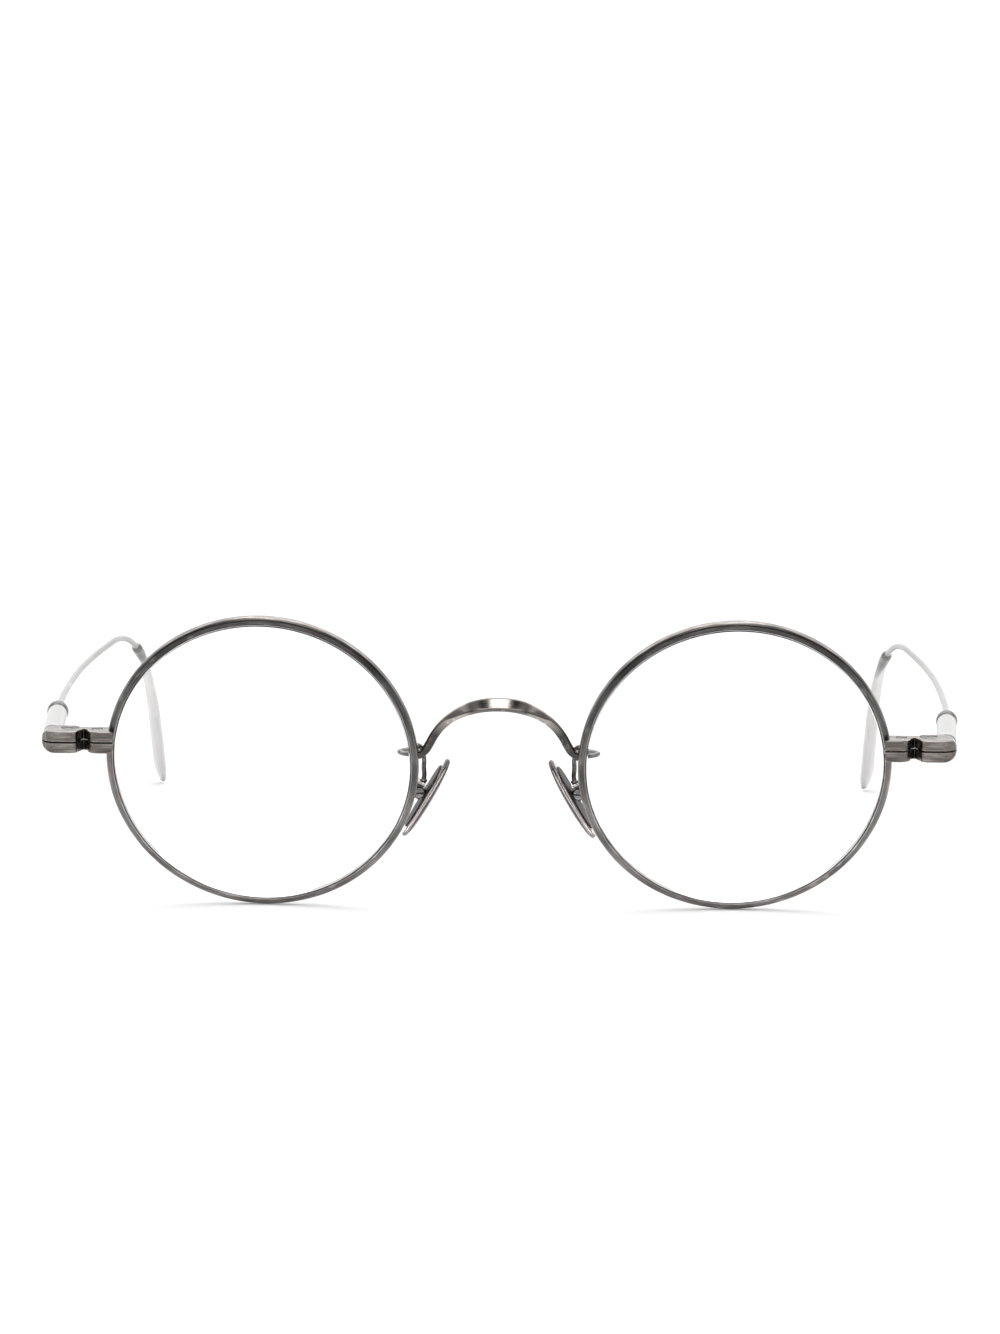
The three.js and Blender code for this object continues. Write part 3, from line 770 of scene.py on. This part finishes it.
# ---- temples ----
def temple_leaf():
    """The hinge leaf: an eye, its neck, and a flanged plug in the front of the tube."""
    low, high = PLANE_Z - LEAF_HALF, PLANE_Z + LEAF_HALF
    neck = prism([HINGE, (62.4, 0.6), (63.95, 2.2), (64.1, 3.1), (62.2, 3.1)], low, high)
    core, flange, front, seat, depth = TUBE_BORE - 0.07, 1.32, -0.45, -0.06, 3.4
    plug = [(0, front), (flange, front), (flange, seat), (core, seat), (core, depth), (0, depth)]
    steps = [
        ("UNION", neck),
        ("UNION", placed(TUBE_PLACE, spun(plug, 40))),
        ("DIFFERENCE", rod(*HINGE, HINGE_HOLE_R, 0, CLEAR_ABOVE)),
    ]
    return carved(rod(*HINGE, EYE_R, low, high), steps, voxel=0.055, relax=4)


def temple_tube():
    outline = [(TUBE_BORE, 0), (TUBE_R, 0), (TUBE_R, TUBE_LENGTH), (TUBE_BORE, TUBE_LENGTH)]
    rounded = fillet(outline, [0.05, 0.16, 0.12, 0.05], 4)
    bands = [(TUBE_R, y) for y in np.linspace(0.5, TUBE_LENGTH - 0.5, 24)]
    return placed(TUBE_PLACE, turned([*rounded[:10], *bands, *rounded[10:]], 64))


def temple_bead():
    """An olive bead with a core that reaches into the tube."""
    neck, core, depth, gap = 0.75, TUBE_BORE - 0.07, 1.6, 0.07
    bulge = []
    for degrees in range(6, 175, 6):
        angle = math.radians(degrees)
        r = neck + (BEAD_R - neck) * math.sin(angle)
        bulge.append((r, (BEAD_LENGTH / 2) * (1 - math.cos(angle))))
    profile = [(WIRE_R, -depth), (core, -depth), (core, 0), *bulge, (WIRE_R, BEAD_LENGTH - 0.02)]
    return placed(TUBE_PLACE @ shift(0, TUBE_LENGTH + gap, 0), turned(profile, 64))


BOW = [
    (10, 64.13), (17, 64.68), (24, 65.24), (34, 65.68), (46, 65.82), (58, 65.55),
    (70, 64.65), (82, 63.3), (94, 62.05), (106, 61.0), (118, 60.4), (136, 59.8),
]


def bow_line():
    """The temple's sideways bow as a dense uniform Catmull-Rom line of (y, x)."""
    p = np.array([BOW[0], *BOW, BOW[-1]], float)
    dense = []
    for i in range(1, len(p) - 2):
        a, b, c, d = p[i - 1 : i + 3]
        for t in np.linspace(0, 1, 20, endpoint=False):
            v0, v1 = (c - a) / 2, (d - b) / 2
            cubic, square = 2 * b - 2 * c + v0 + v1, 3 * c - 3 * b - 2 * v0 - v1
            dense.append(cubic * t**3 + square * t**2 + v0 * t + b)
    return np.array([*dense, p[-1]])


BOW_LINE = bow_line()


def temple_path(start, end, count):
    """The temple's centre line between two distances back: a dip, the ear bend, a straight end."""
    y = np.linspace(start, end, 400)
    run = np.maximum(0, y - BEND_START)
    slope = math.tan(math.radians(TEMPLE_DIP)) / math.cos(math.radians(TUBE_SPLAY))
    dip = (y - TUBE_START[1]) * slope
    bend = math.radians(BEND_ANGLE)
    knee = BEND_R * math.sin(bend)
    curve = BEND_R - np.sqrt(np.maximum(BEND_R**2 - np.minimum(run, knee) ** 2, 0))
    drop = dip + curve + np.maximum(0, run - knee) * math.tan(bend)
    x = np.interp(y, BOW_LINE[:, 0], BOW_LINE[:, 1])
    return evened(np.stack([x, y, PLANE_Z - drop], axis=1), count)


def temple_wire():
    """The wire from inside the bead to inside the tip."""
    return swept(temple_path(14, TIP_START + 3.5, 220), WIRE_R, WIRE_R)


def temple_tip():
    """A sleeve over the wire's end that flattens to a paddle."""
    centres = temple_path(TIP_START, TIP_END, 110)
    twist, right, sleeve_r = math.radians(TIP_TWIST), Vector((1, 0, 0)), 0.85
    side = [Matrix.Rotation(twist, 3, Vector(t)) @ right for t in tangents(centres)]
    part = np.linspace(0, 1, len(centres))
    opened = smoothstep(part, 0.08, 0.22)
    start = np.sqrt(np.clip(1 - (1 - np.clip(part / 0.03, 0, 1)) ** 2, 0.12, 1))
    close = np.sqrt(np.clip(1 - np.clip((part - 0.9) / 0.1, 0, 1) ** 2, 0.004, 1))
    wide = (sleeve_r + (1.0 + 0.3 * part) * opened) * close * start
    thick = (sleeve_r - 0.3 * opened) * np.maximum(0.35, close) * start
    return swept(centres, thick, wide, np.array(side), sides=32, power=2.2)


# ---- nose pads ----
def pad_frame(slant, origin):
    """x runs back along the pad's width, y up along its length and z towards the nose."""
    s, c = math.sin(math.radians(slant)), math.cos(math.radians(slant))
    matrix = np.eye(4)
    matrix[:3, 0], matrix[:3, 1], matrix[:3, 2] = (0, 1, 0), (-s, 0, c), (-c, 0, -s)
    matrix[:3, 3] = origin
    return matrix


PAD_PLACE = pad_frame(PAD_SLANT, PAD_ORIGIN)
PIVOT = moved(PAD_PLACE, [(-PIVOT_FRONT, PIVOT_UP, -PIVOT_BACK)])[0]
BOX_PLACE = pad_frame(BOX_SLANT, PIVOT)


def egg(width, length, sides=72):
    """The pad's outline, a little wider at its foot."""
    angle = np.linspace(0, 2 * math.pi, sides, endpoint=False)
    taper = 1 - 0.1 * np.sin(angle)
    return np.stack([width / 2 * taper * np.cos(angle), length / 2 * np.sin(angle)], axis=1)


def nose_pad():
    """Clear resin over the metal plate, rounded at its edge and crowned on the nose side."""
    back, edge = CORE_BACK + 0.2, 0.36
    front = back + 2 * edge
    flat = [(inset, back) for inset in (3.5, 2.4, 1.3, 0.7)]
    rounded = [
        (edge * (1 - math.cos(angle)), back + edge + edge * math.sin(angle))
        for angle in np.radians(range(-80, 91, 17))
    ]
    dome = [(inset, front) for inset in (0.5, 0.8, 1.1, 1.6, 2.2, 2.8, 3.3, 3.6)]
    first_lifted = 10
    rings = []
    for step, (inset, z) in enumerate([*flat, *rounded, *dome]):
        outline = egg(PAD_WIDTH - 2 * inset, PAD_LENGTH - 2 * inset)
        x, y = outline[:, 0] / (PAD_WIDTH / 2), outline[:, 1] / (PAD_LENGTH / 2)
        crown = np.clip(1 - (x**2 + y**2) ** 1.6, 0, 1) * (PAD_FACE - front)
        lift = crown if step >= first_lifted else 0 * crown
        rings.append(np.column_stack([outline, z + lift]))
    rings = np.array(rings)
    return placed(PAD_PLACE, skin(rings, rings.copy()))


def stadium(width, length):
    r = width / 2
    return [*arc(0, length / 2 - r, r, 0, 180), *arc(0, r - length / 2, r, 180, 360)]


def pad_core():
    """The metal plate on the pad's back, with the eye that goes into the box."""
    hinge = shift(-PIVOT_FRONT, PIVOT_UP, -PIVOT_BACK) @ turn("Y", 90)
    half, eye_r = 0.42, 0.72
    stalk = block(-half, half, -0.62, 0.62, -PIVOT_BACK, CORE_BACK + 0.15)
    steps = [
        ("UNION", placed(shift(-PIVOT_FRONT, PIVOT_UP, 0), stalk)),
        ("UNION", placed(hinge, rod(0, 0, eye_r, -half, half))),
        ("DIFFERENCE", placed(hinge, rod(0, 0, PAD_HOLE_R, -2, 2))),
    ]
    plate = prism(stadium(6.0, 10.2), CORE_BACK, PAD_BACK + 0.1)
    return placed(PAD_PLACE, carved(plate, steps, voxel=0.05, relax=3))


def pad_box():
    """A box open towards the pad and at its foot, with walls on both sides of the pad's eye."""
    half, end = 1.05, 1.5
    outline = fillet([(-half, -half), (half, -half), (half, end), (-half, end)], 0.25)
    body = prism(outline, -1.3, 0.42)
    hole = placed(turn("Y", 90), rod(0, 0, PAD_HOLE_R, -2, 2))
    steps = [("DIFFERENCE", block(-0.54, 0.54, -2, 0.98, -0.86, 1)), ("DIFFERENCE", hole)]
    return placed(BOX_PLACE, carved(body, steps, voxel=0.045, relax=5))


def pad_screw():
    """The pad's hinge pin, with its head on the front wall of the box."""
    head_top = 1.54
    points, faces, grain = screw(
        head_r=0.75, head_depth=0.42, shank_r=0.38, length=2.7, slot=0.22, degrees=30
    )
    turned_over = np.stack([-points[:, 2] - head_top, points[:, 1], points[:, 0]], axis=1)
    return placed(BOX_PLACE, (turned_over, faces, grain))


def pad_arm():
    """The wire that loops from its solder on the rim, behind the lens edge, down to the box."""
    foot = moved(BOX_PLACE, [(0, 1.55, -0.15)])[0]
    points = [
        (11.85, 1.25, 1.0), (12.7, 1.6, 1.1), (13.7, 2.2, 1.12), (14.2, 3.2, 1.1),
        (13.8, 4.2, 1.05), (12.8, 4.9, 1.05), (11.7, 5.35, 0.9), (11.0, 5.6, 0.3),
        (10.75, 5.7, -0.7), (10.78, 5.75, -1.9), tuple(foot + (-0.1, 0, 0.9)), tuple(foot),
    ]
    solder = ball([11.8, 0.95, 1.0], [0.75, 0.55, 0.6])
    joint = ball(foot + (0, 0, 0.08), [0.55, 0.5, 0.32])
    return joined(swept(centripetal(points, 160), ARM_R, ARM_R), solder, joint)


# ---- the object ----
show_pair("rim", "front", rim(), antique)
show_pair("lens", "front", lens(), glass, flats=True)
show("bridge", "front", bridge(), saddle)
show_pair("lug_upper", "front", upper_lug(), plate_metal)
show_pair("lug_lower", "front", lower_lug(), plate_metal)
hinge_screw = screw(
    head_r=1.17, head_depth=0.54, shank_r=0.58, length=LUG_HEIGHT - 0.1, slot=0.32, degrees=8
)
show_pair("hinge_screw", "front", placed(shift(*HINGE, TOP), hinge_screw), oxide)
rim_screw = screw(
    head_r=0.73, head_depth=0.49, shank_r=0.43, length=LUG_HEIGHT - 0.1, slot=0.26, degrees=-20
)
show_pair("rim_screw", "front", placed(shift(*CLOSER, TOP), rim_screw), oxide)
show_pair("temple_leaf", "temple", temple_leaf(), lug_metal)
show_pair("temple_tube", "temple", temple_tube(), bright, flats=True)
show_pair("temple_bead", "temple", temple_bead(), bead_metal)
show_pair("temple_wire", "temple", temple_wire(), wire_metal)
show_pair("temple_tip", "temple", temple_tip(), tip_silver)
show_pair("pad_arm", "front", pad_arm(), oxide)
show_pair("pad_box", "front", pad_box(), box_metal)
show_pair("pad_screw", "front", pad_screw(), cap_metal)
show_pair("pad_core", "pad", pad_core(), plate_oxide)
show_pair("nose_pad", "pad", nose_pad(), resin)


# ---- floor, light and camera ----
def floor():
    """A wide matt floor in a pale, slightly uneven white."""
    mesh = bpy.data.meshes.new("floor")
    half = 12.0
    corners = [(-half, -half, 0), (half, -half, 0), (half, half, 0), (-half, half, 0)]
    mesh.from_pydata(corners, [], [(0, 1, 2, 3)])
    material, tree, shader = begin("floor_white")
    place = node(tree, "ShaderNodeTexCoord").outputs["Object"]
    tone = node(tree, "ShaderNodeTexNoise", {"Vector": place, "Scale": 3.0}).outputs["Fac"]
    colour = ramp(tree, tone, [(0.3, (0.94, 0.94, 0.94)), (0.7, (0.96, 0.96, 0.96))])
    tree.links.new(colour, shader.inputs["Base Color"])
    shader.inputs["Roughness"].default_value = 0.9
    shader.inputs["Specular IOR Level"].default_value = 0.1
    mesh.materials.append(material)
    plane = bpy.data.objects.new("floor", mesh)
    bpy.context.scene.collection.objects.link(plane)


def zone(tree, value, outside, inside, height=1.0):
    """A soft-edged zone: nothing where the value is outside, full height where it is inside."""
    return remap(tree, value, outside, inside, 0.0, height)


def studio():
    """Plain white for all but reflections, which see a tent: dim in front and bright behind.

    Over the front of the object the tent has a lamp in the middle, and higher up a dark panel with
    a narrow slit of light.
    """
    world = bpy.data.worlds.new("studio")
    bpy.context.scene.world = world
    world.use_nodes = True
    tree = world.node_tree
    seen = node(tree, "ShaderNodeTexCoord").outputs["Generated"]
    x, y, z = node(tree, "ShaderNodeSeparateXYZ", {0: seen}).outputs
    aside = math_node(tree, "ABSOLUTE", x)
    walls = larger(tree, remap(tree, y, -0.9, 0.4, 0.14, 1.05), zone(tree, y, 0.55, 0.9, 1.45))
    lamp = product(tree, remap(tree, aside, 0.3, 0.4, 2.4, 0.0), zone(tree, z, 0.38, 0.46))
    over = product(tree, zone(tree, y, -0.32, -0.24, 2.2), zone(tree, z, 0.45, 0.6))
    lit = larger(tree, larger(tree, walls, lamp), over)
    slit = remap(tree, aside, 0.1, 0.12, 9.0, 0.07)
    panel = larger(tree, slit, zone(tree, aside, 0.24, 0.32, 0.8))
    high = product(tree, zone(tree, z, 0.6, 0.66), zone(tree, y, -0.24, -0.32))
    clear_of_lamp = larger(tree, zone(tree, z, 0.78, 0.8), zone(tree, aside, 0.4, 0.44))
    tent = mixed(tree, product(tree, high, clear_of_lamp), lit, panel)
    glossy = node(tree, "ShaderNodeLightPath").outputs["Is Glossy Ray"]
    even_white = 1.16
    back = tree.nodes["Background"]
    back.inputs["Color"].default_value = (1, 1, 1, 1)
    tree.links.new(mixed(tree, glossy, even_white, tent), back.inputs["Strength"])


def softbox(name, place, target, size, energy):
    light = bpy.data.lights.new(name, "AREA")
    light.shape, light.size, light.energy = "DISK", size, energy
    obj = bpy.data.objects.new(name, light)
    bpy.context.scene.collection.objects.link(obj)
    obj.location = place
    obj.rotation_euler = (Vector(target) - Vector(place)).to_track_quat("-Z", "Y").to_euler()


def camera():
    """A long lens a little above the object, looking at the middle of its front."""
    data = bpy.data.cameras.new("camera")
    data.lens, data.sensor_width = 122.17, 36
    data.clip_start, data.clip_end = 0.01, 100
    obj = bpy.data.objects.new("camera", data)
    bpy.context.scene.collection.objects.link(obj)
    heading, fall, roll = math.radians(-1.1), math.radians(6.5), math.radians(0.48)
    distance, target = 0.6404, Vector((0.00012, -0.0619, 0.03529))
    ahead, down = math.cos(fall), math.sin(fall)
    look = Vector((math.sin(heading) * ahead, math.cos(heading) * ahead, -down))
    right = look.cross(Vector((0, 0, 1))).normalized()
    up = right.cross(look)
    level = right * math.cos(roll) + up * math.sin(roll)
    tall = up * math.cos(roll) - right * math.sin(roll)
    matrix = Matrix((level, tall, -look)).transposed().to_4x4()
    matrix.translation = target - look * distance
    obj.matrix_world = matrix
    bpy.context.scene.camera = obj


floor()
studio()
softbox("overhead", (0.0, 0.1, 0.9), (0, 0, 0), 0.9, 1.5)
camera()
bpy.context.scene.view_settings.view_transform = "Standard"
